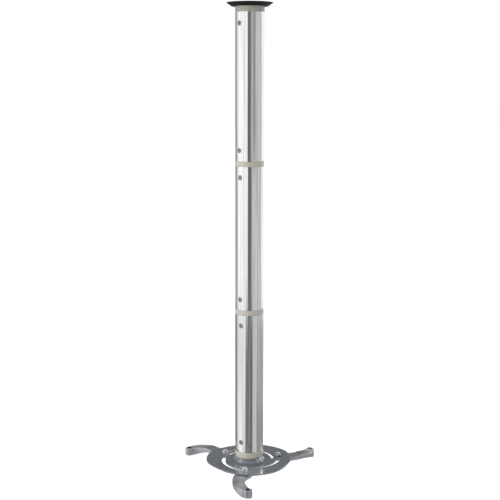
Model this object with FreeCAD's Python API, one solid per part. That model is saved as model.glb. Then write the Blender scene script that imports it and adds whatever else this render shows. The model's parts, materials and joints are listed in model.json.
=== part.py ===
import FreeCAD, Part
import os
import math
from FreeCAD import Vector as V

# Ceiling mount for a projector: a column of three tubes hangs from a ceiling
# plate and carries a domed plate with three swinging arms.
# Millimetres. Origin: centre of the ceiling plate's top face. +Z up.

# ---------------------------------------------------------------- dimensions
TUBE_R = 30.0            # outside radius of the tubes and of the collars
TUBE_WALL = 2.5
TUBE_LEN = 300.0
COLLAR_T = 10.7          # visible height of the collar between two tubes
TOP_COLLAR_Z = -19.2     # underside of the top collar, where the first tube starts
BOTTOM_COLLAR_T = 13.0
SPIGOT_R = 27.4
SPIGOT_LEN = 40.0
SPIGOT_BORE_R = 23.5

CEIL_PLATE_R = 39.0
CEIL_PLATE_T = 3.0
CEIL_PCD = 69.0
CEIL_HOLE_R = 2.75
FLANGE_SCREW_R = 20.0    # circle radius of the screws that hold the top collar

COVER_RIM_R = 47.2
COVER_RIM_T = 1.3
COVER_FACE_R = 36.8
COVER_H = 8.0
COVER_WALL = 1.8
COVER_HOLE_R = 30.4

SCREW_FROM_END = 22.5    # tube screws, measured from the tube's end
SCREW_HEAD_R = 4.6
SCREW_SHANK_R = 2.5
SCREW_AZ = (-45.0, -41.0, -36.0)   # degrees to the left of the front, tube by tube

BALL_Z = -983.0          # centre of the dome's sphere
DOME_R = 38.0            # outside of the dome
PLATE_TOP_Z = -963.1
PLATE_T = 3.0
DOME_HOLE_R = 14.2
SEAT_R = 40.3            # hollow seat under the bottom collar
LINER_RI, LINER_RO = 38.3, 40.0
LINER_IN_DEG, LINER_OUT_DEG = 22.3, 45.5
BALL_WASHER_R = DOME_R - PLATE_T - 0.3
BALL_WASHER_EDGE = 22.0
CLAMP_R = 4.0            # clamp bolt shank

SLOT_C = (5.80, -7.72)   # centre of the first slot's arc
SLOT_R = 60.87
SLOT_W = 7.8
SLOT_FROM, SLOT_TO = 126.2, 255.9    # degrees about the slot's own centre
BOLT_AT = 255.4
ARM_BOLT_R = 3.0
ARM_TOP_Z = PLATE_TOP_Z - PLATE_T - 0.3       # flat pad of the arm, just under the plate
ARM_PAD_Z = ARM_TOP_Z - 8.0
ARM_SEAT_Z = ARM_TOP_Z - 4.8     # floor of the pocket for the bolt's head, from below
TIP_R = 159.0            # arm's tip hole, from the column's axis
TIP_TOP_Z, TIP_BOT_Z = -969.5, -986.0
TIP_BOSS_R, TIP_FLAT = 9.0, 7.5      # boss round the tip hole, flat end beyond the hole
TIP_HOLE_R = 4.2
ARM_LEAD_DEG = 7.6       # arm's tip leads its bolt by this angle
ARM_SWING = (-0.6, 2.6, -3.7)        # how each arm is swung about its bolt at rest
ARM_TRIM_R = 46.0        # round its bolt an arm stays below the plate

O = V(0, 0, 0)
UP = V(0, 0, 1)

# ------------------------------------------------------------------- helpers
def revolve(points, arcs=None):
    """Solid of revolution about Z. points are (r, z); arcs maps an index i to
    the middle point of an arc from point i to point i + 1."""
    arcs = arcs or {}
    edges = []
    n = len(points)
    for i in range(n):
        a = V(points[i][0], 0, points[i][1])
        b = V(points[(i + 1) % n][0], 0, points[(i + 1) % n][1])
        if (a - b).Length < 1e-7:
            continue
        if i in arcs:
            m = V(arcs[i][0], 0, arcs[i][1])
            edges.append(Part.Arc(a, m, b).toShape())
        else:
            edges.append(Part.makeLine(a, b))
    face = Part.Face(Part.Wire(edges))
    return face.revolve(O, UP, 360)


def tube(ro, ri, z0, z1):
    lo, hi = min(z0, z1), max(z0, z1)
    return revolve([(ri, lo), (ro, lo), (ro, hi), (ri, hi)])


def cyl(r, z0, z1, x=0.0, y=0.0):
    lo, hi = min(z0, z1), max(z0, z1)
    return Part.makeCylinder(r, hi - lo, V(x, y, lo), UP)


def hexagon(af, z0, z1, x=0.0, y=0.0, turn=0.0):
    lo, hi = min(z0, z1), max(z0, z1)
    rc = af / math.sqrt(3.0)
    pts = [V(x + rc * math.cos(math.radians(60 * i + turn)),
             y + rc * math.sin(math.radians(60 * i + turn)), lo) for i in range(6)]
    return Part.Face(Part.makePolygon(pts + [pts[0]])).extrude(V(0, 0, hi - lo))


def hex_head(af, z0, z1, x=0.0, y=0.0, turn=0.0, both=False):
    """Hexagon with its corners turned off at 30 degrees on the face at z1."""
    s = hexagon(af, z0, z1, x, y, turn)
    lo, hi = min(z0, z1), max(z0, z1)
    h = hi - lo
    rc = af / math.sqrt(3.0)
    k = math.tan(math.radians(30))
    r_in = af / 2 * 0.95
    c_h = (rc + 0.5 - r_in) * k

    def cap(top):
        if top:
            prof = [(0, lo - 1), (rc + 0.5, lo - 1), (rc + 0.5, hi - c_h), (r_in, hi), (0, hi)]
        else:
            prof = [(0, hi + 1), (rc + 0.5, hi + 1), (rc + 0.5, lo + c_h), (r_in, lo), (0, lo)]
        c = revolve(prof)
        c.translate(V(x, y, 0))
        return c
    if both or z1 > z0:
        s = s.common(cap(True))
    if both or z1 < z0:
        s = s.common(cap(False))
    return s


def turned(shape, deg, about=O, axis=UP):
    s = shape.copy()
    s.rotate(about, axis, deg)
    return s


def save(name, shape):
    if isinstance(shape, (list, tuple)):
        shape = Part.makeCompound(list(shape))
    shape.exportStep("parts/%s.step" % name)


def sphere_z(r, rho):
    """Height on a sphere about the dome's centre at distance rho from the axis."""
    return BALL_Z + math.sqrt(r * r - rho * rho)


os.makedirs("parts", exist_ok=True)

# ------------------------------------------------------------ column heights
t1_top = TOP_COLLAR_Z
t1_bot = t1_top - TUBE_LEN
t2_top = t1_bot - COLLAR_T
t2_bot = t2_top - TUBE_LEN
t3_top = t2_bot - COLLAR_T
t3_bot = t3_top - TUBE_LEN
col_bot = t3_bot - BOTTOM_COLLAR_T
tubes = [(t1_top, t1_bot), (t2_top, t2_bot), (t3_top, t3_bot)]

# -------------------------------------------------------------- ceiling plate
plate = cyl(CEIL_PLATE_R, 0, -CEIL_PLATE_T)
for i in range(4):
    a = math.radians(45 + 90 * i)
    r = CEIL_PCD / 2
    plate = plate.cut(cyl(CEIL_HOLE_R, 1, -CEIL_PLATE_T - 1, r * math.cos(a), r * math.sin(a)))
flange_screws = []
flange_holes = []
for i in range(4):
    a = math.radians(90 * i)
    x, y = FLANGE_SCREW_R * math.cos(a), FLANGE_SCREW_R * math.sin(a)
    sink = revolve([(0, 0.5), (5.1, 0.5), (5.1, 0.0), (2.7, -2.4), (2.7, -CEIL_PLATE_T - 1), (0, -CEIL_PLATE_T - 1)])
    sink.translate(V(x, y, 0))
    plate = plate.cut(sink)
    s = revolve([(0, -0.1), (4.85, -0.1), (2.5, -2.45), (2.5, -14.0), (2.0, -14.6), (0, -14.6)])
    s.translate(V(x, y, 0))
    s = s.cut(hexagon(3.0, 0.5, -2.0, x, y))
    flange_screws.append(s)
    flange_holes.append(cyl(2.5, -CEIL_PLATE_T + 0.5, -15.2, x, y))
save("ceiling_plate", plate)
save("flange_screws", flange_screws)

# -------------------------------------------------------------- ceiling cover
# A shallow dish: upright rim, straight cone, flat face with a hole for the tube.
run = (COVER_RIM_R - COVER_FACE_R) / (COVER_H - COVER_RIM_T)
face_r = 1.0
cover = revolve([
    (COVER_RIM_R - COVER_WALL, 0.0),
    (COVER_RIM_R - 0.3, 0.0),
    (COVER_RIM_R, -0.3),
    (COVER_RIM_R, -COVER_RIM_T),
    (COVER_RIM_R - 0.9, -COVER_RIM_T - 0.25),
    (COVER_FACE_R + 0.5, -COVER_H + 0.35),
    (COVER_FACE_R - 0.3, -COVER_H),
    (COVER_HOLE_R + 0.3, -COVER_H),
    (COVER_HOLE_R, -COVER_H + 0.3),
    (COVER_HOLE_R, -COVER_H + COVER_WALL),
    (COVER_FACE_R - 1.7, -COVER_H + COVER_WALL),
    (COVER_RIM_R - COVER_WALL - 1.0, -COVER_RIM_T),
])
save("ceiling_cover", cover)

# ------------------------------------------------------------------ connectors
EDGE = 0.6

def collar_profile_top(z_hi, z_lo):
    """Collar with a spigot below it (hollow from below)."""
    end = z_lo - SPIGOT_LEN
    return revolve([
        (0, z_hi), (TUBE_R, z_hi), (TUBE_R, z_lo + EDGE), (TUBE_R - EDGE, z_lo),
        (SPIGOT_R, z_lo), (SPIGOT_R, end + 1.5), (SPIGOT_R - 1.5, end),
        (SPIGOT_BORE_R, end), (SPIGOT_BORE_R, z_lo + 1.0), (0, z_lo + 1.0)])


top_connector = collar_profile_top(-CEIL_PLATE_T, TOP_COLLAR_Z)
for h in flange_holes:
    top_connector = top_connector.cut(h)


def joint_connector(z_hi, z_lo):
    """Collar with a spigot up and a spigot down, open through the middle."""
    up, dn = z_hi + SPIGOT_LEN, z_lo - SPIGOT_LEN
    return revolve([
        (SPIGOT_BORE_R, up), (SPIGOT_R - 1.5, up), (SPIGOT_R, up - 1.5),
        (SPIGOT_R, z_hi), (TUBE_R - EDGE, z_hi), (TUBE_R, z_hi - EDGE),
        (TUBE_R, z_lo + EDGE), (TUBE_R - EDGE, z_lo), (SPIGOT_R, z_lo),
        (SPIGOT_R, dn + 1.5), (SPIGOT_R - 1.5, dn), (SPIGOT_BORE_R, dn)])


upper_joint = joint_connector(t1_bot, t2_top)
lower_joint = joint_connector(t2_bot, t3_top)

WEB_TOP = t3_bot + 8.0
seat_rho = math.sqrt(SEAT_R ** 2 - (col_bot - BALL_Z) ** 2)
bottom_connector = revolve([
    (SPIGOT_BORE_R, t3_bot + SPIGOT_LEN), (SPIGOT_R - 1.5, t3_bot + SPIGOT_LEN),
    (SPIGOT_R, t3_bot + SPIGOT_LEN - 1.5), (SPIGOT_R, t3_bot), (TUBE_R - EDGE, t3_bot),
    (TUBE_R, t3_bot - EDGE), (TUBE_R, col_bot + 1.2), (TUBE_R - 1.2, col_bot),
    (seat_rho, col_bot),
    (CLAMP_R + 0.08, sphere_z(SEAT_R, CLAMP_R + 0.08)),
    (CLAMP_R + 0.08, WEB_TOP), (SPIGOT_BORE_R, WEB_TOP)],
    arcs={8: (SEAT_R * math.sin(math.radians(24)), BALL_Z + SEAT_R * math.cos(math.radians(24)))})

# ------------------------------------------------- tubes and their side screws
def radial(shape, az_deg, z):
    """Place a shape drawn along +X (x = distance from the axis) at the given
    azimuth, counted to the right of the front (-Y), and height."""
    s = shape.copy()
    s.translate(V(0, 0, z))
    s.rotate(O, UP, -90 + az_deg)
    return s


def along_x(points):
    """Revolved profile about +X: points are (x, r)."""
    pts = [V(p[0], 0, p[1]) for p in points]
    f = Part.Face(Part.makePolygon(pts + [pts[0]]))
    return f.revolve(O, V(1, 0, 0), 360)


HEAD_X = TUBE_R - 0.42
screw = along_x([(HEAD_X, 0), (HEAD_X, SCREW_HEAD_R), (HEAD_X - 0.3, SCREW_HEAD_R),
                 (HEAD_X - 2.1, SCREW_SHANK_R), (21.6, SCREW_SHANK_R), (21.0, SCREW_SHANK_R - 0.6), (21.0, 0)])
sock = hexagon(3.0, 0, 1.8)
sock.rotate(O, V(0, 1, 0), 90)
sock.translate(V(HEAD_X - 1.7, 0, 0))
screw = screw.cut(sock)
sink = along_x([(TUBE_R + 1, 0), (TUBE_R + 1, SCREW_HEAD_R + 0.3), (HEAD_X - 0.35, SCREW_HEAD_R + 0.3),
                (HEAD_X - 2.75, SCREW_SHANK_R + 0.2), (TUBE_R - TUBE_WALL - 1, SCREW_SHANK_R + 0.2), (TUBE_R - TUBE_WALL - 1, 0)])
tap = along_x([(SPIGOT_R + 0.5, 0), (SPIGOT_R + 0.5, SCREW_SHANK_R), (SPIGOT_BORE_R - 1, SCREW_SHANK_R), (SPIGOT_BORE_R - 1, 0)])

tube_names = ("upper_tube", "middle_tube", "lower_tube")
connectors = {"top_connector": top_connector, "upper_joint_connector": upper_joint,
              "lower_joint_connector": lower_joint, "bottom_connector": bottom_connector}
ends = (("top_connector", "upper_joint_connector"),
        ("upper_joint_connector", "lower_joint_connector"),
        ("lower_joint_connector", "bottom_connector"))
for k in range(3):
    zt, zb = tubes[k]
    c = 0.25
    ri = TUBE_R - TUBE_WALL
    body = revolve([(ri, zb), (TUBE_R - c, zb), (TUBE_R, zb + c), (TUBE_R, zt - c), (TUBE_R - c, zt), (ri, zt)])
    group = []
    for end, z in ((0, zt - SCREW_FROM_END), (1, zb + SCREW_FROM_END)):
        for side in (0, 180):
            az = SCREW_AZ[k] + side
            body = body.cut(radial(sink, az, z))
            group.append(radial(screw, az, z))
            n = ends[k][end]
            connectors[n] = connectors[n].cut(radial(tap, az, z))
    save(tube_names[k], body)
    save(tube_names[k] + "_screws", group)
for n in connectors:
    save(n, connectors[n])

# -------------------------------------------------- clamp that holds the dome
bw_edge_z = sphere_z(BALL_WASHER_R, BALL_WASHER_EDGE)
bw_bot = bw_edge_z - 2.3
ball_washer = revolve([
    (CLAMP_R + 0.05, bw_bot), (BALL_WASHER_EDGE - 0.6, bw_bot), (BALL_WASHER_EDGE, bw_bot + 0.6),
    (BALL_WASHER_EDGE, bw_edge_z), (CLAMP_R + 0.05, sphere_z(BALL_WASHER_R, CLAMP_R + 0.05))],
    arcs={3: (BALL_WASHER_R * math.sin(math.radians(22)), BALL_Z + BALL_WASHER_R * math.cos(math.radians(22)))})
save("ball_washer", ball_washer)

head_top = bw_bot - 1.6
head_bot = head_top - 5.3
nut_bot = WEB_TOP + 0.1 + 1.6
nut_top = nut_bot + 6.5
clamp_bolt = hex_head(13.0, head_top, head_bot).fuse(cyl(CLAMP_R, head_top - 0.5, nut_top + 2.0))
clamp_bolt = clamp_bolt.common(revolve([(0, head_bot - 1), (9, head_bot - 1), (9, nut_top + 1.2),
                                        (CLAMP_R, nut_top + 1.2), (CLAMP_R - 0.8, nut_top + 2.0), (0, nut_top + 2.0)])).removeSplitter()
save("clamp_bolt", clamp_bolt)
clamp_nut = hex_head(13.0, nut_bot, nut_top, both=True).cut(cyl(CLAMP_R + 0.02, nut_bot - 1, nut_top + 1))
save("clamp_nut", clamp_nut)
save("clamp_washers", [tube(8.0, CLAMP_R + 0.2, bw_bot, head_top),
                       tube(8.0, CLAMP_R + 0.2, WEB_TOP + 0.1, nut_bot)])

# ---------------------------------------------------------- liner on the dome
def on_sphere(r, deg):
    a = math.radians(deg)
    return (r * math.sin(a), BALL_Z + r * math.cos(a))


mid = (LINER_IN_DEG + LINER_OUT_DEG) / 2
dome_liner = revolve([
    on_sphere(LINER_RI, LINER_IN_DEG), on_sphere(LINER_RI, LINER_OUT_DEG),
    on_sphere(LINER_RO, LINER_OUT_DEG), on_sphere(LINER_RO, LINER_IN_DEG)],
    arcs={0: on_sphere(LINER_RI, mid), 2: on_sphere(LINER_RO, mid)})
save("dome_liner", dome_liner)

# ------------------------------------------------------------------ base plate
# Pressed steel: a round, slightly three-lobed outline, a dome pressed up in the
# middle and three slots that wind outwards.
lobe = (89.7, 90.8, 93.9, 93.6, 92.6, 90.4, 87.7, 87.2)
pts = []
for i in range(24):
    a = math.radians(15 * i)
    r = lobe[i % 8]
    pts.append(V(r * math.cos(a), r * math.sin(a), PLATE_TOP_Z - PLATE_T))
outline = Part.BSplineCurve()
outline.interpolate(pts, PeriodicFlag=True)
base = Part.Face(Part.Wire([outline.toShape()])).extrude(V(0, 0, PLATE_T))
base = base.makeFillet(0.5, [e for e in base.Edges if e.Length > 200])

zb = PLATE_TOP_Z - PLATE_T
R_IN = DOME_R - PLATE_T
F_TOP, F_BOT = 3.0, 5.5
# press radii where the dome meets the flat: circles tangent to both
def tangent_up(rr, flat_z, r_sphere):
    """Circle of radius rr above the flat at flat_z, outside the sphere."""
    cz = flat_z + rr
    cr = math.sqrt((r_sphere + rr) ** 2 - (cz - BALL_Z) ** 2)
    d = math.hypot(cr, cz - BALL_Z)
    touch = (cr * r_sphere / d, BALL_Z + (cz - BALL_Z) * r_sphere / d)
    return (cr, cz), touch


(c1r, c1z), t1 = tangent_up(F_TOP, PLATE_TOP_Z, DOME_R)
(c2r, c2z), t2 = tangent_up(F_TOP + PLATE_T, zb, R_IN)


def arc_mid(cr, cz, rr, a, b):
    aa = math.atan2(a[1] - cz, a[0] - cr)
    ab = math.atan2(b[1] - cz, b[0] - cr)
    while ab - aa > math.pi:
        ab -= 2 * math.pi
    while ab - aa < -math.pi:
        ab += 2 * math.pi
    m = (aa + ab) / 2
    return (cr + rr * math.cos(m), cz + rr * math.sin(m))


hole_out = (DOME_HOLE_R, sphere_z(DOME_R, DOME_HOLE_R))
hole_in = (DOME_HOLE_R, sphere_z(R_IN, DOME_HOLE_R))
RIM = 44.0


def sphere_mid(r, a, b):
    aa = math.atan2(a[0], a[1] - BALL_Z)
    ab = math.atan2(b[0], b[1] - BALL_Z)
    m = (aa + ab) / 2
    return (r * math.sin(m), BALL_Z + r * math.cos(m))


p_top_flat = (c1r, PLATE_TOP_Z)
p_bot_flat = (c2r, zb)
dome = revolve(
    [hole_out, t1, p_top_flat, (RIM, PLATE_TOP_Z), (RIM, zb), p_bot_flat, t2, hole_in],
    arcs={0: sphere_mid(DOME_R, hole_out, t1),
          1: arc_mid(c1r, c1z, F_TOP, t1, p_top_flat),
          5: arc_mid(c2r, c2z, F_TOP + PLATE_T, p_bot_flat, t2),
          6: sphere_mid(R_IN, t2, hole_in)})
base = base.cut(cyl(RIM, PLATE_TOP_Z + 1, zb - 1)).fuse(dome)


def slot_cutter(c, r, w, a0, a1, z0, z1):
    h = w / 2
    def P(rr, a):
        return V(c[0] + rr * math.cos(math.radians(a)), c[1] + rr * math.sin(math.radians(a)), z0)
    am = (a0 + a1) / 2
    e1 = Part.Arc(P(r + h, a0), P(r + h, am), P(r + h, a1)).toShape()
    da = math.degrees(h / r)
    cap1 = P(r, a1) + V(-math.sin(math.radians(a1)), math.cos(math.radians(a1)), 0) * h
    e2 = Part.Arc(P(r + h, a1), cap1, P(r - h, a1)).toShape()
    e3 = Part.Arc(P(r - h, a1), P(r - h, am), P(r - h, a0)).toShape()
    cap0 = P(r, a0) + V(math.sin(math.radians(a0)), -math.cos(math.radians(a0)), 0) * h
    e4 = Part.Arc(P(r - h, a0), cap0, P(r + h, a0)).toShape()
    return Part.Face(Part.Wire([e1, e2, e3, e4])).extrude(V(0, 0, z1 - z0))


for k in range(3):
    cutter = slot_cutter(SLOT_C, SLOT_R, SLOT_W, SLOT_FROM, SLOT_TO, zb - 1, PLATE_TOP_Z + 1)
    base = base.cut(turned(cutter, 120 * k))
base = base.removeSplitter()
save("base_plate", base)

# ------------------------------------------------------------------------ arms
# Drawn along +X from the column's axis to the tip hole, then turned into place.
ba = math.radians(BOLT_AT)
bolt_x = SLOT_C[0] + SLOT_R * math.cos(ba)
bolt_y = SLOT_C[1] + SLOT_R * math.sin(ba)
bolt_r = math.hypot(bolt_x, bolt_y)
bolt_dir = math.degrees(math.atan2(bolt_y, bolt_x))
PX = bolt_r * math.cos(math.radians(-ARM_LEAD_DEG))
PY = bolt_r * math.sin(math.radians(-ARM_LEAD_DEG))
TX = TIP_R

# x, y, width to the hollow side, width to the round side,
# heights: ridge, hollow edge, round edge, bottom hollow, bottom round, ridge offset
stations = [
    (63.5, -8.0, 8.5, 9.0, -966.6, -966.7, -966.7, -974.2, -974.2, 0.0),
    (66.7, -8.3, 13.5, 11.2, -966.6, -966.7, -966.8, -974.2, -974.5, 0.0),
    (72.0, -10.4, 19.0, 12.8, -966.6, -966.7, -966.8, -974.2, -974.9, 0.0),
    (79.0, -13.5, 19.9, 13.7, -966.6, -966.7, -966.7, -974.2, -975.2, 0.0),
    (92.0, -17.5, 17.0, 14.2, -966.3, -967.0, -966.6, -974.0, -975.7, 0.5),
    (105.0, -19.8, 14.3, 13.7, -965.4, -966.2, -965.8, -974.2, -975.3, 1.5),
    (118.0, -19.8, 12.7, 13.4, -964.6, -965.3, -965.6, -975.4, -975.5, 2.5),
    (130.0, -17.4, 11.3, 13.9, -964.6, -965.3, -966.6, -978.0, -977.1, 3.5),
    (141.0, -12.8, 9.6, 13.7, -965.8, -966.3, -967.7, -981.6, -980.4, 3.5),
    (150.0, -7.1, 8.3, 12.6, -967.3, -967.7, -969.0, -984.7, -984.3, 2.5),
    (156.5, -2.0, 7.4, 10.8, -968.9, -969.3, -970.0, -985.9, -985.9, 1.0),
]
def skin(sections):
    """Closed solid through closed smooth sections that all have the same number
    of points: one surface periodic round the section, and two flat end faces."""
    n = len(sections[0])
    rings = []
    for sec in sections:
        c = Part.BSplineCurve()
        c.interpolate(Points=sec, PeriodicFlag=True, Parameters=[float(t) for t in range(n + 1)])
        rings.append(c)
    mid = [sum(sec, V(0, 0, 0)) * (1.0 / n) for sec in sections]
    par = [0.0]
    for a, b in zip(mid, mid[1:]):
        par.append(par[-1] + (b - a).Length)
    rows = []
    for u in range(rings[0].NbPoles):
        c = Part.BSplineCurve()
        c.interpolate(Points=[r.getPole(u + 1) for r in rings], PeriodicFlag=False, Parameters=par)
        rows.append(c)
    surf = Part.BSplineSurface()
    surf.buildFromPolesMultsKnots([r.getPoles() for r in rows], rings[0].getMultiplicities(), rows[0].getMultiplicities(),
                                  rings[0].getKnots(), rows[0].getKnots(), True, False, rings[0].Degree, rows[0].Degree)
    side = surf.toShape()
    faces = [side]
    for e in side.Edges:
        if e.isClosed() and not any(e.isSame(q) for f in faces[1:] for q in f.Edges):
            m = e.BoundBox
            if max(m.XLength, m.YLength, m.ZLength) < 60:
                faces.append(Part.Face(Part.Wire([e])))
    shell = Part.makeShell(faces)
    shell.sewShape()
    body = Part.makeSolid(shell if shell.ShapeType == "Shell" else shell.Shells[0])
    if body.Volume < 0:
        body.reverse()
    return body


sections = []
for i, (cx, cy, wi, wo, zt, zti, zto, zbi, zbo, rid) in enumerate(stations):
    a = stations[max(i - 1, 0)]
    b = stations[min(i + 1, len(stations) - 1)]
    tx, ty = b[0] - a[0], b[1] - a[1]
    L = math.hypot(tx, ty)
    nx, ny = -ty / L, tx / L
    hi = (zti - zbi)
    ho = (zto - zbo)
    sec = [
        (wi, zti - 0.5 * hi), (wi - 0.15, zti - 0.26 * hi), (wi - 0.9, zti - 0.04 * hi),
        (wi * 0.72, zti + (zt - zti) * 0.45), (rid, zt), (-wo * 0.45, zt + (zto - zt) * 0.4),
        (-wo + 1.9, zto + 0.06 * ho), (-wo + 0.45, zto - 0.16 * ho), (-wo, zto - 0.5 * ho),
        (-wo + 0.45, zbo + 0.14 * ho), (-wo + 2.0, zbo), (-wo * 0.4, zbo * 0.7 + zbi * 0.3),
        (wi * 0.45, zbi * 0.75 + zbo * 0.25), (wi - 1.8, zbi), (wi - 0.4, zbi + 0.14 * hi)]
    sections.append([V(cx + nx * w, cy + ny * w, z) for w, z in sec])
arm = skin(sections)


def rounded_boss(r, z_hi, z_lo, e, x, y):
    c = e * (1 - math.sqrt(0.5))
    b = revolve([(0, z_lo), (r - e, z_lo), (r, z_lo + e), (r, z_hi - e), (r - e, z_hi), (0, z_hi)],
                arcs={1: (r - c, z_lo + c), 3: (r - c, z_hi - c)})
    b.translate(V(x, y, 0))
    return b


tip = rounded_boss(TIP_BOSS_R, TIP_TOP_Z, TIP_BOT_Z, 1.0, TX, 0)
pad = rounded_boss(10.0, ARM_TOP_Z - 0.02, ARM_PAD_Z, 0.6, PX, PY)
arm = arm.fuse(tip).fuse(pad)
under = revolve([(0, ARM_TOP_Z), (ARM_TRIM_R, ARM_TOP_Z), (ARM_TRIM_R + 14, ARM_TOP_Z + 4), (0, ARM_TOP_Z + 4)])
under.translate(V(PX, PY, 0))
arm = arm.cut(under)
# flat end face with a tapered groove in it
arm = arm.cut(Part.makeBox(10, 40, 30, V(TX + TIP_FLAT, -20, TIP_BOT_Z - 5)))
g = Part.Face(Part.makePolygon([V(TX + 8, -1.7, TIP_TOP_Z + 1), V(TX + 8, 1.7, TIP_TOP_Z + 1),
                                V(TX + 8, 0.7, TIP_BOT_Z + 4), V(TX + 8, -0.7, TIP_BOT_Z + 4),
                                V(TX + 8, -1.7, TIP_TOP_Z + 1)])).extrude(V(-2.4, 0, 0))
arm = arm.cut(g)
arm = arm.cut(cyl(TIP_HOLE_R, TIP_TOP_Z + 2, TIP_BOT_Z - 2, TX, 0))
arm = arm.cut(cyl(ARM_BOLT_R + 0.08, ARM_TOP_Z + 2, ARM_PAD_Z - 2, PX, PY))
arm = arm.cut(cyl(6.9, ARM_SEAT_Z, ARM_PAD_Z - 2, PX, PY))

washer_t = 1.0
top_w = PLATE_TOP_Z + 0.1
low_w = ARM_SEAT_Z - 0.1
nut_lo = top_w + washer_t
nut_hi = nut_lo + 3.4
head_hi = low_w - washer_t
head_lo = head_hi - 4.0
for k in range(3):
    turn = bolt_dir + ARM_LEAD_DEG + 120 * k
    ang = math.radians(bolt_dir + 120 * k)
    bx, by = bolt_r * math.cos(ang), bolt_r * math.sin(ang)
    save("arm_%d" % (k + 1), turned(turned(arm, turn), ARM_SWING[k], V(bx, by, 0)))
    tw = turn + (30, 24, 38)[k]
    shank = cyl(ARM_BOLT_R, head_hi - 0.5, nut_hi + 1.0, bx, by)
    tipcone = revolve([(0, head_lo - 1), (7, head_lo - 1), (7, nut_hi + 0.4), (ARM_BOLT_R, nut_hi + 0.4),
                       (ARM_BOLT_R - 0.6, nut_hi + 1.0), (0, nut_hi + 1.0)])
    tipcone.translate(V(bx, by, 0))
    bolt = hex_head(10.0, head_hi, head_lo, bx, by, tw).fuse(shank).common(tipcone).removeSplitter()
    nut = hex_head(10.0, nut_lo, nut_hi, bx, by, tw, both=True).cut(cyl(ARM_BOLT_R + 0.02, nut_lo - 1, nut_hi + 1, bx, by))
    w1 = tube(6.2, ARM_BOLT_R + 0.15, top_w, nut_lo)
    w2 = tube(6.2, ARM_BOLT_R + 0.15, head_hi, low_w)
    for w in (w1, w2):
        w.translate(V(bx, by, 0))
    save("arm_bolt_%d" % (k + 1), bolt)
    save("arm_nut_%d" % (k + 1), nut)
    save("arm_washers_%d" % (k + 1), [w1, w2])
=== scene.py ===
import json
import math

import bmesh
import bpy
import numpy as np
from mathutils import Matrix, Vector


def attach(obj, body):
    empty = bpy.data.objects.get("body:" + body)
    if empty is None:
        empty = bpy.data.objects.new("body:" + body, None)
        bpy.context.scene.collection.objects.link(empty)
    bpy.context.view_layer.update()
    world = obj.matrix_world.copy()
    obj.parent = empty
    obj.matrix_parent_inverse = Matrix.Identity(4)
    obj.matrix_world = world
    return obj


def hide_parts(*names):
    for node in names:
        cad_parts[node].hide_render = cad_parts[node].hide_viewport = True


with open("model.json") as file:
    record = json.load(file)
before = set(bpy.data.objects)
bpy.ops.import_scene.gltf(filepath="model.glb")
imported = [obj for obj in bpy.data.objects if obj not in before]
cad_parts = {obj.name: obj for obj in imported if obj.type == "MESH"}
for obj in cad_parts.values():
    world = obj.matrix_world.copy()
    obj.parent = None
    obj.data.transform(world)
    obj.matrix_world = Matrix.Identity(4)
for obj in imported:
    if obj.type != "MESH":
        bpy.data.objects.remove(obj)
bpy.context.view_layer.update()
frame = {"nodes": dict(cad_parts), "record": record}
NODES = frame["nodes"]
BODY = {n: b for b, ns in frame["record"]["behaviour"]["bodies"].items() for n in ns}
scene = bpy.context.scene
MM = 0.001

# Lengths below are in millimetres unless they are handed to the scene.
TUBE_R, TUBE_WALL = 30.0, 2.5
TUBES = {"upper_tube": (-19.2, -319.2, -45.0), "middle_tube": (-329.9, -629.9, -41.0), "lower_tube": (-640.6, -940.6, -36.0)}
SCREW_FROM_END = 22.5
HEAD_X = TUBE_R - 0.42
HEAD_R = 4.6
RIM_R = 5.35          # countersink where it meets the tube


# ------------------------------------------------------------------ mesh helpers
def new_object(name, verts, faces, mat, body, replaced=(), scale=MM):
    me = bpy.data.meshes.new(name)
    me.from_pydata([tuple(float(c) * scale for c in v) for v in verts], [], [list(map(int, f)) for f in faces])
    me.validate()
    me.update()
    ob = bpy.data.objects.new(name, me)
    scene.collection.objects.link(ob)
    me.materials.append(mat)
    if body:
        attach(ob, body)
    if replaced:
        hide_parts(*replaced)
    return ob


def smooth(ob, deg=30.0, weighted=True):
    me = ob.data
    for p in me.polygons:
        p.use_smooth = True
    me.set_sharp_from_angle(angle=math.radians(deg))
    if weighted:
        w = ob.modifiers.new("weighted", "WEIGHTED_NORMAL")
        w.keep_sharp = True
        w.weight = 80
    return ob


def bake_modifiers(ob):
    bpy.context.view_layer.update()
    dg = bpy.context.evaluated_depsgraph_get()
    me = bpy.data.meshes.new_from_object(ob.evaluated_get(dg), preserve_all_data_layers=True, depsgraph=dg)
    old = ob.data
    ob.modifiers.clear()
    ob.data = me
    me.name = old.name + "_m"
    return ob


def tidy(ob):
    """Merge points that a bevel or a cut left in one place."""
    bm = bmesh.new()
    bm.from_mesh(ob.data)
    bmesh.ops.remove_doubles(bm, verts=bm.verts, dist=1e-6)
    bmesh.ops.dissolve_degenerate(bm, dist=1e-6, edges=bm.edges)
    bm.to_mesh(ob.data)
    bm.free()
    ob.data.update()


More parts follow.
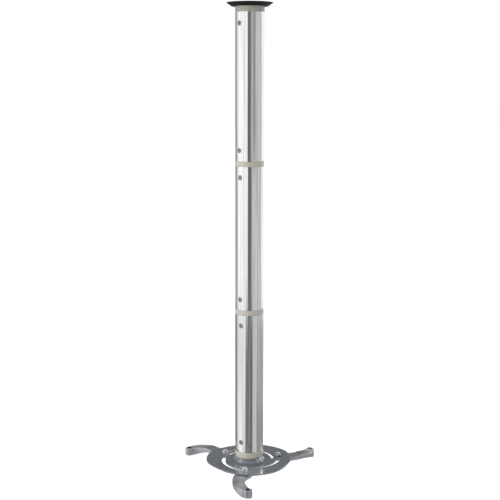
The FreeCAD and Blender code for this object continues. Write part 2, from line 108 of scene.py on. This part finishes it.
def softened(node, width, mat, name=None, angle=32.0, segments=2, keep_sharp=35.0):
    """A copy of a CAD node whose arrises are rolled over by a small radius."""
    src = NODES[node]
    me = src.data.copy()
    me.name = (name or node) + "_soft"
    bm = bmesh.new()
    bm.from_mesh(me)
    bmesh.ops.remove_doubles(bm, verts=bm.verts, dist=2e-6)
    bmesh.ops.dissolve_limit(bm, angle_limit=math.radians(0.4), use_dissolve_boundaries=False, verts=bm.verts, edges=bm.edges)
    bmesh.ops.dissolve_degenerate(bm, dist=1e-6, edges=bm.edges)
    bm.normal_update()
    bm.to_mesh(me)
    bm.free()
    if me.has_custom_normals:
        me.normals_split_custom_set([(0, 0, 0)] * len(me.loops))
    ob = bpy.data.objects.new(name or node + "_finished", me)
    scene.collection.objects.link(ob)
    me.materials.clear()
    me.materials.append(mat)
    b = ob.modifiers.new("edge", "BEVEL")
    b.width = width * MM
    b.segments = segments
    b.limit_method = "ANGLE"
    b.angle_limit = math.radians(angle)
    b.miter_outer = "MITER_ARC"
    b.use_clamp_overlap = True
    bake_modifiers(ob)
    tidy(ob)
    smooth(ob, keep_sharp)
    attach(ob, BODY[node])
    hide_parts(node)
    return ob


# --------------------------------------------------------------------- materials
def node_material(name):
    m = bpy.data.materials.new(name)
    m.use_nodes = True
    nt = m.node_tree
    for n in list(nt.nodes):
        nt.nodes.remove(n)
    out = nt.nodes.new("ShaderNodeOutputMaterial")
    bs = nt.nodes.new("ShaderNodeBsdfPrincipled")
    nt.links.new(bs.outputs[0], out.inputs[0])
    return m, nt, bs


def coords(nt, scale=(1, 1, 1), rotate=(0, 0, 0)):
    tc = nt.nodes.new("ShaderNodeTexCoord")
    mp = nt.nodes.new("ShaderNodeMapping")
    mp.inputs["Scale"].default_value = scale
    mp.inputs["Rotation"].default_value = rotate
    nt.links.new(tc.outputs["Object"], mp.inputs["Vector"])
    return mp.outputs[0]


def noise(nt, vec, scale, detail=4.0, rough=0.55, distortion=0.0):
    n = nt.nodes.new("ShaderNodeTexNoise")
    n.inputs["Scale"].default_value = scale
    n.inputs["Detail"].default_value = detail
    n.inputs["Roughness"].default_value = rough
    n.inputs["Distortion"].default_value = distortion
    nt.links.new(vec, n.inputs["Vector"])
    return n.outputs["Fac"]


def remap(nt, val, a, b, lo=0.3, hi=0.7, clamp=True):
    r = nt.nodes.new("ShaderNodeMapRange")
    r.clamp = clamp
    r.inputs["From Min"].default_value = lo
    r.inputs["From Max"].default_value = hi
    r.inputs["To Min"].default_value = a
    r.inputs["To Max"].default_value = b
    nt.links.new(val, r.inputs["Value"])
    return r.outputs[0]


def blend_colour(nt, fac, c0, c1):
    mx = nt.nodes.new("ShaderNodeMix")
    mx.data_type = "RGBA"
    mx.inputs[6].default_value = (*c0, 1)
    mx.inputs[7].default_value = (*c1, 1)
    nt.links.new(fac, mx.inputs[0])
    return mx.outputs[2]


def add(nt, a, b, wa=1.0, wb=1.0):
    def times(v, w):
        if w == 1.0:
            return v
        m = nt.nodes.new("ShaderNodeMath")
        m.operation = "MULTIPLY"
        m.inputs[1].default_value = w
        nt.links.new(v, m.inputs[0])
        return m.outputs[0]
    s = nt.nodes.new("ShaderNodeMath")
    s.operation = "ADD"
    nt.links.new(times(a, wa), s.inputs[0])
    nt.links.new(times(b, wb), s.inputs[1])
    return s.outputs[0]


def bump(nt, bs, height, strength, distance, prev=None):
    b = nt.nodes.new("ShaderNodeBump")
    b.inputs["Strength"].default_value = strength
    b.inputs["Distance"].default_value = distance
    nt.links.new(height, b.inputs["Height"])
    if prev is not None:
        nt.links.new(prev, b.inputs["Normal"])
    if bs is not None:
        nt.links.new(b.outputs[0], bs.inputs["Normal"])
    return b.outputs[0]


def tube_metal():
    """Drawn aluminium: fine lines along the tube, a little cloudiness in its gloss."""
    m, nt, bs = node_material("drawn_aluminium")
    bs.inputs["Metallic"].default_value = 1.0
    lines = noise(nt, coords(nt, (1, 1, 0.006)), 900, 3, 0.6)
    broad = noise(nt, coords(nt, (1, 1, 0.012)), 290, 3, 0.6)
    cloud = noise(nt, coords(nt, (1, 1, 0.35)), 42, 5, 0.6)
    nt.links.new(blend_colour(nt, remap(nt, broad, 0, 1, 0.42, 0.58), (0.76, 0.765, 0.77), (0.97, 0.97, 0.97)), bs.inputs["Base Color"])
    nt.links.new(remap(nt, add(nt, lines, cloud, 0.5, 0.5), 0.07, 0.17), bs.inputs["Roughness"])
    bump(nt, bs, lines, 0.12, 0.00004)
    return m


def beige_paint(name="beige_satin_paint", k=1.0):
    m, nt, bs = node_material(name)
    bs.inputs["Metallic"].default_value = 0.12
    fine = noise(nt, coords(nt), 2600, 3, 0.6)
    cloud = noise(nt, coords(nt), 90, 4, 0.5)
    nt.links.new(blend_colour(nt, remap(nt, add(nt, fine, cloud, 0.6, 0.4), 0, 1), (0.42 * k, 0.398 * k, 0.342 * k), (0.49 * k, 0.467 * k, 0.405 * k)), bs.inputs["Base Color"])
    nt.links.new(remap(nt, cloud, 0.27, 0.36), bs.inputs["Roughness"])
    bump(nt, bs, fine, 0.18, 0.00005)
    return m


def black_plastic(name="black_moulded_plastic", base=0.005, rough=(0.36, 0.48), spec=0.14):
    m, nt, bs = node_material(name)
    bs.inputs["Specular IOR Level"].default_value = spec
    grain = noise(nt, coords(nt), 1500, 2, 0.5)
    soft = noise(nt, coords(nt), 60, 3, 0.5)
    nt.links.new(blend_colour(nt, remap(nt, soft, 0, 1), (base * 0.8,) * 3, (base * 1.3, base * 1.3, base * 1.35)), bs.inputs["Base Color"])
    nt.links.new(remap(nt, add(nt, grain, soft, 0.5, 0.5), *rough), bs.inputs["Roughness"])
    bump(nt, bs, grain, 0.25, 0.00008)
    return m


def nylon():
    """Natural nylon: milky, faintly uneven, soft sheen."""
    m, nt, bs = node_material("natural_nylon")
    bs.inputs["Specular IOR Level"].default_value = 0.4
    bs.inputs["Subsurface Weight"].default_value = 0.15
    bs.inputs["Subsurface Radius"].default_value = (0.002, 0.0018, 0.0014)
    milk = noise(nt, coords(nt), 130, 4, 0.55)
    fine = noise(nt, coords(nt), 1800, 2, 0.5)
    nt.links.new(blend_colour(nt, remap(nt, milk, 0, 1), (0.40, 0.38, 0.33), (0.50, 0.48, 0.43)), bs.inputs["Base Color"])
    nt.links.new(remap(nt, add(nt, milk, fine, 0.5, 0.5), 0.38, 0.55), bs.inputs["Roughness"])
    bump(nt, bs, fine, 0.15, 0.00006)
    return m


def plate_paint():
    """Blue-grey powder coat: a slight orange peel over pressed sheet."""
    m, nt, bs = node_material("blue_grey_powder_coat")
    bs.inputs["IOR"].default_value = 1.75
    bs.inputs["Coat Weight"].default_value = 1.0
    bs.inputs["Coat IOR"].default_value = 1.7
    bs.inputs["Coat Roughness"].default_value = 0.06
    peel = noise(nt, coords(nt), 700, 2, 0.45)
    fleck = noise(nt, coords(nt), 3200, 2, 0.6)
    wide = noise(nt, coords(nt), 28, 3, 0.5)
    nt.links.new(blend_colour(nt, remap(nt, add(nt, fleck, wide, 0.6, 0.4), 0, 1), (0.136, 0.158, 0.188), (0.170, 0.195, 0.228)), bs.inputs["Base Color"])
    nt.links.new(remap(nt, wide, 0.20, 0.30), bs.inputs["Roughness"])
    bump(nt, bs, peel, 0.05, 0.00012)
    return m


def cast_metal():
    """Tumbled aluminium casting with a silver satin coat: softly mottled, with a fine sandy skin."""
    m, nt, bs = node_material("cast_aluminium")
    bs.inputs["Metallic"].default_value = 0.68
    bs.inputs["Coat Weight"].default_value = 0.5
    bs.inputs["Coat Roughness"].default_value = 0.26
    mott = noise(nt, coords(nt), 420, 5, 0.62, 0.3)
    sand = noise(nt, coords(nt), 1300, 3, 0.6)
    wide = noise(nt, coords(nt), 45, 3, 0.5)
    body = blend_colour(nt, remap(nt, add(nt, mott, wide, 0.6, 0.4), 0, 1, 0.35, 0.65), (0.315, 0.33, 0.35), (0.43, 0.445, 0.465))
    geo = nt.nodes.new("ShaderNodeNewGeometry")
    # Painted shade: creases and hollows (low pointiness) are darkened towards near black.
    cavity = remap(nt, geo.outputs["Pointiness"], 0, 1, 0.42, 0.50)
    # Convex arrises are lightened towards bright silver: partly edge wear, partly a painted highlight.
    ridge = remap(nt, geo.outputs["Pointiness"], 0, 1, 0.51, 0.58)
    edge_wear_and_highlight = blend_colour(nt, ridge, (0.40, 0.41, 0.42), (0.74, 0.75, 0.76))
    nt.links.new(body, edge_wear_and_highlight.node.inputs[6])
    painted_crease_shade = blend_colour(nt, cavity, (0.17, 0.17, 0.175), (0.40, 0.41, 0.42))
    nt.links.new(edge_wear_and_highlight, painted_crease_shade.node.inputs[7])
    nt.links.new(painted_crease_shade, bs.inputs["Base Color"])
    nt.links.new(remap(nt, add(nt, mott, sand, 0.6, 0.4), 0.25, 0.37), bs.inputs["Roughness"])
    first = bump(nt, None, mott, 0.12, 0.0003)
    bump(nt, bs, sand, 0.2, 0.00006, first)
    return m


def bore_painted_shade():
    """Wall of the tip holes: left as bored, and coloured near black as painted shade, since the bore is unlit."""
    m, nt, bs = node_material("bore_painted_shade")
    bs.inputs["Metallic"].default_value = 0.3
    turns = noise(nt, coords(nt, (1, 1, 9)), 260, 2, 0.5)
    nt.links.new(blend_colour(nt, remap(nt, turns, 0, 1), (0.012, 0.012, 0.013), (0.035, 0.035, 0.037)), bs.inputs["Base Color"])
    nt.links.new(remap(nt, turns, 0.45, 0.65), bs.inputs["Roughness"])
    bump(nt, bs, turns, 0.3, 0.00015)
    return m


def zinc(name="bright_zinc", k=1.0, metallic=0.6, rough=(0.12, 0.24)):
    m, nt, bs = node_material(name)
    bs.inputs["Metallic"].default_value = metallic
    cloud = noise(nt, coords(nt), 380, 4, 0.6)
    fine = noise(nt, coords(nt), 2400, 2, 0.5)
    nt.links.new(blend_colour(nt, remap(nt, cloud, 0, 1), (0.70 * k, 0.72 * k, 0.74 * k), (0.88 * k, 0.89 * k, 0.90 * k)), bs.inputs["Base Color"])
    nt.links.new(remap(nt, add(nt, cloud, fine, 0.5, 0.5), *rough), bs.inputs["Roughness"])
    bump(nt, bs, fine, 0.10, 0.00004)
    return m


M_TUBE = tube_metal()
M_BEIGE = beige_paint()
# Lighter copy of the beige paint for the bottom collar: painted light.
M_BEIGE_PAINTED_LIGHT = beige_paint("beige_satin_paint_painted_light", 1.3)
# Darker copy of the beige paint for the top collar: painted shadow of the ceiling cover.
M_BEIGE_PAINTED_SHADOW = beige_paint("beige_satin_paint_painted_shadow", 0.72)
M_COVER = black_plastic()
M_LINER = nylon()
M_PLATE = plate_paint()
M_CAST = cast_metal()
# Near-black material for the tip holes: painted shade.
M_BORE_PAINTED_SHADE = bore_painted_shade()
M_ZINC = zinc()
M_SCREW = zinc("dark_nickel", 0.38, 0.85)
M_NUT = zinc("bright_zinc_nut", 1.08, 0.75)
M_WASHER = zinc("dull_zinc_washer", 1.1, 0.15, (0.32, 0.46))
M_SINK = zinc("countersink_shade", 0.16, 0.7)


# ------------------------------------------------------------------------- tubes
# Each drawn tube has its own shallow lengthwise waves: (middle, half width, depth)
# in degrees from the front and millimetres.
WAVES = {
    "upper_tube": ((-72, 4, 0.030), (-60, 4, 0.047), (-48, 3, 0.036), (-30, 4, 0.083), (-17, 5, 0.048), (-4, 4, 0.033), (6, 4, 0.105), (17, 4, 0.005),
                   (27, 5, 0.048), (45, 4, 0.030), (59, 4, 0.033), (70, 4, 0.030),
                   (96, 5, 0.06), (120, 4, 0.04), (146, 5, 0.06), (168, 4, 0.05), (-88, 4, 0.05), (-110, 5, 0.07), (-132, 4, 0.04), (-156, 5, 0.06)),
    "middle_tube": ((-72, 4, 0.030), (-59, 4, 0.073), (-46, 3, 0.029), (-30, 4, 0.105), (-11.5, 4, 0.073), (3.5, 4, 0.103), (16, 4, 0.039), (31, 5, 0.030),
                    (44, 4, 0.024), (59, 4, 0.016), (70, 4, 0.030),
                    (92, 4, 0.05), (114, 5, 0.07), (138, 4, 0.05), (162, 5, 0.06), (-92, 5, 0.06), (-118, 4, 0.04), (-140, 5, 0.06), (-165, 4, 0.05)),
    "lower_tube": ((-72, 4, 0.030), (-57, 4, 0.105), (-44.5, 3, 0.026), (-36, 4, 0.019), (-22.5, 5, 0.081), (-12, 4, 0.089), (8.5, 4, 0.101), (19.5, 4, 0.055),
                   (45, 4, 0.030), (58, 4, 0.030), (70, 4, 0.030),
                   (94, 5, 0.06), (118, 4, 0.05), (143, 5, 0.07), (167, 4, 0.05), (-90, 4, 0.05), (-113, 5, 0.06), (-137, 4, 0.05), (-160, 5, 0.06)),
}


def die_profile(name, n):
    """Depth of the drawn surface below its full radius, and its slope, round the tube.
    Azimuth counts from the front (-Y) to the right."""
    rng = np.random.default_rng({"upper_tube": 11, "middle_tube": 23, "lower_tube": 37}[name])
    az = np.arange(n) * 2 * math.pi / n
    deg = np.degrees(az)
    d = np.zeros(n)
    for mid, half, depth in WAVES[name]:
        x = (deg - mid + 180.0) % 360.0 - 180.0
        d += depth * np.exp(-(x / half) ** 2)
    for k, amp in ((37, 0.0016), (61, 0.0012), (97, 0.0010), (151, 0.0006), (223, 0.0004)):
        d += amp * (1 + np.cos(k * az + rng.uniform(0, 6.28)))
    d += 0.004
    slope = np.gradient(np.concatenate([d[-2:], d, d[:2]]))[2:-2] / (2 * math.pi / n) / TUBE_R
    return az, d, slope


def ring_xy(r, az):
    return r * np.sin(az), -r * np.cos(az)


def radial_frame(az_deg, z):
    """Matrix that takes +X to the outward direction at that azimuth, at height z (mm)."""
    a = math.radians(-90.0 + az_deg)
    return Matrix.Translation((0, 0, z)) @ Matrix.Rotation(a, 4, "Z")


def lathe_x(points, seg):
    """Closed solid turned about +X from (x, r) points; the first and last lie on the axis."""
    verts, faces = [], []
    idx = []
    for x, r in points:
        if r < 1e-9:
            idx.append([len(verts)])
            verts.append((x, 0, 0))
        else:
            idx.append(list(range(len(verts), len(verts) + seg)))
            for i in range(seg):
                a = 2 * math.pi * i / seg
                verts.append((x, r * math.cos(a), r * math.sin(a)))
    for a, b in zip(idx, idx[1:]):
        for i in range(seg):
            j = (i + 1) % seg
            if len(a) == 1 and len(b) == 1:
                continue
            if len(a) == 1:
                faces.append((a[0], b[j], b[i]))
            elif len(b) == 1:
                faces.append((a[i], a[j], b[0]))
            else:
                faces.append((a[i], a[j], b[j], b[i]))
    return verts, faces


def make_tube(name):
    zt, zb, az_screw = TUBES[name]
    n = 720
    az, depth, slope = die_profile(name, n)
    ri = TUBE_R - TUBE_WALL
    rows = []
    e = 0.3
    for f, z in ((0.32, zb), (0.10, zb + 0.10), (0.0, zb + e), (0.0, zt - e), (0.10, zt - 0.10), (0.32, zt)):
        x, y = ring_xy(TUBE_R - depth - f, az)
        rows.append(np.stack([x, y, np.full(n, z)], 1))
    for f, z in ((0.25, zt), (0.0, zt - 0.25), (0.0, zb + 0.25), (0.25, zb)):
        x, y = ring_xy(ri + f, az)
        rows.append(np.stack([x, y, np.full(n, z)], 1))
    verts = np.concatenate(rows)
    faces = []
    R = len(rows)
    for r in range(R):
        s = (r + 1) % R
        for i in range(n):
            j = (i + 1) % n
            faces.append((r * n + i, r * n + j, s * n + j, s * n + i))
    ob = new_object(name + "_drawn", verts, faces, M_TUBE, None)
    # countersunk screw holes
    cv, cf = [], []
    prof = [(TUBE_R + 2, 0), (TUBE_R + 2, RIM_R), (HEAD_X - 0.10, RIM_R - 0.12), (HEAD_X - 0.62, HEAD_R + 0.28),
            (HEAD_X - 2.75, 2.7), (ri - 2, 2.7), (ri - 2, 0)]
    for z in (zt - SCREW_FROM_END, zb + SCREW_FROM_END):
        for side in (0, 180):
            v, f = lathe_x(prof, 96)
            m = radial_frame(az_screw + side, z)
            base = len(cv)
            cv += [tuple(m @ Vector(p)) for p in v]
            cf += [tuple(base + q for q in face) for face in f]
    cut = new_object("cutter", cv, cf, M_TUBE, None)
    bm = bmesh.new()
    bm.from_mesh(cut.data)
    bmesh.ops.recalc_face_normals(bm, faces=bm.faces)
    bm.to_mesh(cut.data)
    bm.free()
    bm = bmesh.new()
    bm.from_mesh(ob.data)
    bmesh.ops.recalc_face_normals(bm, faces=bm.faces)
    bm.to_mesh(ob.data)
    bm.free()
    b = ob.modifiers.new("holes", "BOOLEAN")
    b.operation = "DIFFERENCE"
    b.object = cut
    b.solver = "EXACT"
    bake_modifiers(ob)
    bpy.data.objects.remove(cut)
    tidy(ob)
    me = ob.data
    for p in me.polygons:
        p.use_smooth = True
    # exact normals on the drawn outside, so that its reflections run straight
    me.set_sharp_from_angle(angle=math.radians(28))
    base_normals = [tuple(c.vector) for c in me.corner_normals]
    normals = list(base_normals)
    full = np.concatenate([az, [2 * math.pi]])
    sl = np.concatenate([slope, slope[:1]])
    dp = np.concatenate([depth, depth[:1]])
    for p in me.polygons:
        nrm = p.normal
        c = p.center / MM
        rad = math.hypot(c.x, c.y)
        if abs(nrm.z) < 0.2 and rad > TUBE_R - 0.6 and (nrm.x * c.x + nrm.y * c.y) / rad > 0.97 and zb + 0.2 < c.z < zt - 0.2:
            for li in p.loop_indices:
                v = me.vertices[me.loops[li].vertex_index].co / MM
                r = math.hypot(v.x, v.y)
                a = math.atan2(v.x, -v.y) % (2 * math.pi)
                if r > TUBE_R - np.interp(a, full, dp) - 0.03:
                    # outward radial direction tilted by the local slope of the depth
                    t = np.interp(a, full, sl)
                    radial = Vector((math.sin(a), -math.cos(a), 0))
                    along = Vector((math.cos(a), math.sin(a), 0))
                    normals[li] = tuple((radial + along * t).normalized())
    me.normals_split_custom_set(normals)
    # the walls of the countersinks lie in the shade of the screw heads
    me.materials.append(M_SINK)
    axes = [(math.radians(az_screw + side), z) for z in (zt - SCREW_FROM_END, zb + SCREW_FROM_END) for side in (0, 180)]
    for p in me.polygons:
        c = p.center / MM
        if ri + 0.05 < math.hypot(c.x, c.y) < TUBE_R + 0.01:
            for a, z in axes:
                out = c.x * math.sin(a) - c.y * math.cos(a)
                side = c.x * math.cos(a) + c.y * math.sin(a)
                if out > 0 and math.hypot(side, c.z - z) < RIM_R - 0.02 and p.normal.dot(Vector((math.sin(a), -math.cos(a), 0))) < 0.97:
                    p.material_index = 1
    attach(ob, "column")
    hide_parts(name)
    return ob


for t in TUBES:
    make_tube(t)


# --------------------------------------------------------- countersunk screws
def socket_screw(head_x, head_r, shank_r, tip_x, af, depth, m, seg=72):
    """Flat countersunk head with a hexagon socket, lying along +X, head outwards."""
    verts, faces, rings = [], [], []

    def circle(x, r):
        base = len(verts)
        for i in range(seg):
            a = 2 * math.pi * i / seg
            verts.append((x, r * math.cos(a), r * math.sin(a)))
        rings.append((base, seg))

    def hexa(x, half):
        base = len(verts)
        for i in range(seg):
            a = 2 * math.pi * i / seg
            k = (a % (math.pi / 3)) - math.pi / 6
            r = half / math.cos(k)
            verts.append((x, r * math.cos(a), r * math.sin(a)))
        rings.append((base, seg))

    h = af / 2
    hexa(head_x - depth, h * 0.98)
    hexa(head_x - 0.22, h)
    hexa(head_x - 0.06, h + 0.05)
    hexa(head_x - 0.01, h + 0.22)
    circle(head_x, h + 0.85)
    circle(head_x - 0.02, head_r - 0.55)
    circle(head_x - 0.09, head_r - 0.22)
    circle(head_x - 0.22, head_r - 0.05)
    circle(head_x - 0.34, head_r)
    circle(head_x - 0.46, head_r - 0.10)
    circle(head_x - 2.1, shank_r)
    # thread: a ripple of pitch 0.8 down the shank
    x = head_x - 2.8
    while x > tip_x + 0.9:
        circle(x, shank_r)
        circle(x - 0.2, shank_r - 0.36)
        circle(x - 0.4, shank_r - 0.40)
        circle(x - 0.62, shank_r - 0.04)
        x -= 0.8
    circle(tip_x + 0.6, shank_r - 0.25)
    circle(tip_x, shank_r - 0.6)
    for (a, n), (b, _) in zip(rings, rings[1:]):
        for i in range(n):
            j = (i + 1) % n
            faces.append((a + i, a + j, b + j, b + i))
    c0 = len(verts)
    verts.append((head_x - depth - 0.5, 0, 0))
    c1 = len(verts)
    verts.append((tip_x, 0, 0))
    a = rings[0][0]
    b = rings[-1][0]
    for i in range(seg):
        j = (i + 1) % seg
        faces.append((c0, a + j, a + i))
        faces.append((c1, b + i, b + j))
    return [tuple(m @ Vector(p)) for p in verts], faces


for t, (zt, zb, az_s) in TUBES.items():
    V, F = [], []
    for z in (zt - SCREW_FROM_END, zb + SCREW_FROM_END):
        for side in (0, 180):
            v, f = socket_screw(HEAD_X, HEAD_R, 2.5, 21.0, 3.0, 1.7, radial_frame(az_s + side, z))
            base = len(V)
            V += v
            F += [tuple(base + q for q in face) for face in f]
    ob = new_object(t + "_screw_set", V, F, M_SCREW, "column", (t + "_screws",))
    bm = bmesh.new()
    bm.from_mesh(ob.data)
    bmesh.ops.recalc_face_normals(bm, faces=bm.faces)
    bm.to_mesh(ob.data)
    bm.free()
    smooth(ob, 38)

# -------------------------------------------------- nodes that keep their CAD form
# The top collar takes the darker beige copy: painted shadow of the cover.
softened("top_connector", 0.35, M_BEIGE_PAINTED_SHADOW)
softened("upper_joint_connector", 0.35, M_BEIGE)
softened("lower_joint_connector", 0.35, M_BEIGE)
# The bottom collar takes the lighter beige copy: painted light.
softened("bottom_connector", 0.35, M_BEIGE_PAINTED_LIGHT)
softened("ceiling_plate", 0.25, M_ZINC)
softened("ceiling_cover", 0.35, M_COVER, segments=3)
softened("base_plate", 0.35, M_PLATE, segments=2)
for n in ("flange_screws", "clamp_nut", "clamp_washers", "ball_washer", "clamp_bolt"):
    softened(n, 0.15, M_ZINC)
softened("dome_liner", 0.2, M_LINER)
for k in (1, 2, 3):
    softened("arm_nut_%d" % k, 0.15, M_NUT)
    softened("arm_washers_%d" % k, 0.15, M_WASHER)
    softened("arm_bolt_%d" % k, 0.12, M_ZINC)


# -------------------------------------------------------------------------- arms
TIP_HOLE_R = 4.2
TIPS = {int(m["name"][4]): Vector(m["pos_m"]) for m in frame["record"]["mounts"] if m["name"].endswith("_tip_hole")}


def cast_arm(k):
    """The casting: the CAD form with its arrises and joins rounded as a mould leaves them."""
    node = "arm_%d" % k
    me = NODES[node].data.copy()
    ob = bpy.data.objects.new(node + "_casting", me)
    scene.collection.objects.link(ob)
    me.materials.clear()
    me.materials.append(M_CAST)
    bm = bmesh.new()
    bm.from_mesh(me)
    bmesh.ops.remove_doubles(bm, verts=bm.verts, dist=2e-6)
    bm.to_mesh(me)
    bm.free()
    r = ob.modifiers.new("skin", "REMESH")
    r.mode = "VOXEL"
    r.voxel_size = 0.55 * MM
    r.adaptivity = 0.0
    s = ob.modifiers.new("round", "SMOOTH")
    s.factor = 0.5
    s.iterations = 3
    bake_modifiers(ob)
    tip = TIPS[k]
    body = ob.vertex_groups.new(name="body")
    for v in ob.data.vertices:
        d = math.hypot(v.co.x - tip.x, v.co.y - tip.y) / MM
        w = min(max((d - 6.5) / 5.0, 0.0), 1.0)
        if w > 0:
            body.add([v.index], w, "REPLACE")
    s = ob.modifiers.new("flow", "SMOOTH")
    s.factor = 0.5
    s.iterations = 22
    s.vertex_group = "body"
    bake_modifiers(ob)
    ob.vertex_groups.clear()
    for p in ob.data.polygons:
        p.use_smooth = True
    ob.data.materials.clear()
    ob.data.materials.append(M_CAST)
    ob.data.materials.append(M_BORE_PAINTED_SHADE)
    # Painted shade: faces round the tip holes take the near-black bore material.
    for p in ob.data.polygons:
        c = p.center
        if math.hypot(c.x - tip.x, c.y - tip.y) < (TIP_HOLE_R + 0.5) * MM:
            p.material_index = 1
    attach(ob, BODY[node])
    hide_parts(node)
    return ob


for k in (1, 2, 3):
    cast_arm(k)

# ------------------------------------------------------------------------- stage
def plain_floor():
    m, nt, bs = node_material("pale_floor")
    soft = noise(nt, coords(nt), 0.6, 3, 0.5)
    nt.links.new(blend_colour(nt, remap(nt, soft, 0, 1), (0.90, 0.90, 0.90), (0.93, 0.93, 0.93)), bs.inputs["Base Color"])
    bs.inputs["Roughness"].default_value = 0.8
    bs.inputs["Specular IOR Level"].default_value = 0.1
    bs.inputs["Emission Color"].default_value = (1, 1, 1, 1)
    bs.inputs["Emission Strength"].default_value = 0.55
    s = 60.0
    z = -3.05
    me = bpy.data.meshes.new("floor")
    me.from_pydata([(-s, -s, z), (s, -s, z), (s, s, z), (-s, s, z)], [], [(0, 1, 2, 3)])
    ob = bpy.data.objects.new("floor", me)
    me.materials.append(m)
    scene.collection.objects.link(ob)
    ob.visible_glossy = False


plain_floor()

# Studio light: a pale room with soft panels and flags round the object. Each has its
# two side edges (azimuth in degrees from the front, -Y, to the right), the softness of
# those edges, its lower and upper edge (height part of the direction) and its level.
ROOM_LEVEL = 0.58
PANELS = (
    ("back_right", 108, 179, 8, -0.50, 0.13, 1.05),
    ("left_wall", -110, -48, 4, -0.22, 0.13, 1.10),
    ("left_wall_low", -110, -48, 4, -0.50, -0.22, 0.90),
    ("left_high", -140, -60, 8, 0.13, 0.37, 0.24),
    ("left_back", -172, -120, 6, -0.50, 0.12, 0.40),
    ("left_front", -42, -16, 3, -0.22, 0.62, 1.08),
    ("left_front_low", -44, -31, 3, -0.50, -0.22, 0.95),
    ("left_edge_low", -168, -132, 4, -0.50, -0.22, 0.06),
    ("camera_side", -17, 12, 3, -0.22, 0.70, 0.15),
    ("camera_side_low", -31, 25, 3, -0.50, -0.22, 0.16),
    ("camera_gap_low", -4, 4, 2, -0.50, -0.22, 0.40),
    ("right_front_high", 22, 47, 6, -0.08, 0.62, 0.27),
    ("right_low", 62, 174, 6, -0.30, -0.22, 0.42),
    ("right_floor", 62, 178, 6, -0.50, -0.30, 0.31),
    ("right_high", 62, 140, 8, 0.13, 0.355, 0.24),
    ("lamp_left", -92, -62, 5, 0.40, 0.60, 3.2),
    ("lamp_right", 118, 150, 5, 0.355, 0.56, 5.2),
    ("lamp_left_high", -122, -78, 6, 0.62, 0.80, 1.9),
    ("lamp_right_high", 82, 122, 6, 0.62, 0.80, 2.5),
)
BACK_TOP, OVERHEAD, GROUND = 0.15, 0.42, 0.50


def studio():
    w = bpy.data.worlds.new("studio")
    scene.world = w
    w.use_nodes = True
    nt = w.node_tree
    for n in list(nt.nodes):
        nt.nodes.remove(n)
    out = nt.nodes.new("ShaderNodeOutputWorld")
    tc = nt.nodes.new("ShaderNodeTexCoord")
    sep = nt.nodes.new("ShaderNodeSeparateXYZ")
    nt.links.new(tc.outputs["Generated"], sep.inputs[0])

    def math_node(op, a, b=None):
        n = nt.nodes.new("ShaderNodeMath")
        n.operation = op
        for k, v in enumerate((a, b)):
            if v is None:
                continue
            if isinstance(v, (int, float)):
                n.inputs[k].default_value = v
            else:
                nt.links.new(v, n.inputs[k])
        return n.outputs[0]
    neg_y = math_node("MULTIPLY", sep.outputs["Y"], -1.0)
    az = math_node("MULTIPLY", math_node("ARCTAN2", sep.outputs["X"], neg_y), 180.0 / math.pi)
    z = sep.outputs["Z"]

    def step(v, mid, half):
        r = nt.nodes.new("ShaderNodeMapRange")
        r.interpolation_type = "SMOOTHSTEP"
        r.inputs["From Min"].default_value = mid - half
        r.inputs["From Max"].default_value = mid + half
        nt.links.new(v, r.inputs["Value"])
        return r.outputs[0]

    def between(v, lo, hi, soft):
        return math_node("SUBTRACT", step(v, lo, soft), step(v, hi, soft))

    def mix(f, a, b):
        n = nt.nodes.new("ShaderNodeMix")
        n.data_type = "FLOAT"
        nt.links.new(f, n.inputs[0])
        for k, v in ((2, a), (3, b)):
            if isinstance(v, (int, float)):
                n.inputs[k].default_value = v
            else:
                nt.links.new(v, n.inputs[k])
        return n.outputs[0]

    room = ROOM_LEVEL
    for _, left, right, soft, low, high, level in PANELS:
        room = mix(math_node("MULTIPLY", between(az, left, right, soft), between(z, low, high, 0.006)), room, level)
    at_back = math_node("SUBTRACT", 1.0, between(az, -146, 146, 8))
    room = mix(math_node("MULTIPLY", at_back, step(z, 0.29, 0.04)), room, BACK_TOP)
    room = mix(step(z, 0.82, 0.05), room, OVERHEAD)
    room = mix(math_node("SUBTRACT", 1.0, step(z, -0.5, 0.08)), room, GROUND)
    lp = nt.nodes.new("ShaderNodeLightPath")
    bg = nt.nodes.new("ShaderNodeBackground")
    grey = nt.nodes.new("ShaderNodeCombineColor")
    level = mix(lp.outputs["Is Camera Ray"], room, 1.0)
    for i in range(3):
        nt.links.new(level, grey.inputs[i])
    nt.links.new(grey.outputs[0], bg.inputs["Color"])
    bg.inputs["Strength"].default_value = 1.0
    nt.links.new(bg.outputs[0], out.inputs[0])


studio()


def panel(name, loc, target, size, power):
    li = bpy.data.lights.new(name, "AREA")
    li.shape = "RECTANGLE"
    li.size, li.size_y = size
    li.energy = power
    ob = bpy.data.objects.new(name, li)
    scene.collection.objects.link(ob)
    ob.location = loc
    ob.rotation_mode = "QUATERNION"
    ob.rotation_quaternion = (Vector(target) - Vector(loc)).to_track_quat("-Z", "Y")
    ob.visible_camera = False
    ob.visible_glossy = False
    return ob


panel("soft_key", (-2.0, -1.2, -0.45), (0, 0, -0.9), (1.0, 1.0), 25)
panel("soft_fill", (1.9, -0.9, 0.4), (0, 0, -0.8), (1.2, 1.6), 1)

# ------------------------------------------------------------------------ camera
cam_data = bpy.data.cameras.new("camera")
cam = bpy.data.objects.new("camera", cam_data)
scene.collection.objects.link(cam)
cam_data.sensor_width = 36.0
cam_data.lens = 1048.3 / 500.0 * 36.0
cam_data.shift_x = 0.001
cam_data.clip_start, cam_data.clip_end = 0.05, 200.0
cam.matrix_world = (Matrix.Translation((0.0, -2.1668, -0.1534)) @ Matrix.Rotation(math.radians(90.0 - 9.24), 4, "X")
                    @ Matrix.Rotation(math.radians(0.09), 4, "Z"))
scene.camera = cam
scene.view_settings.view_transform = "Standard"
scene.view_settings.look = "None"
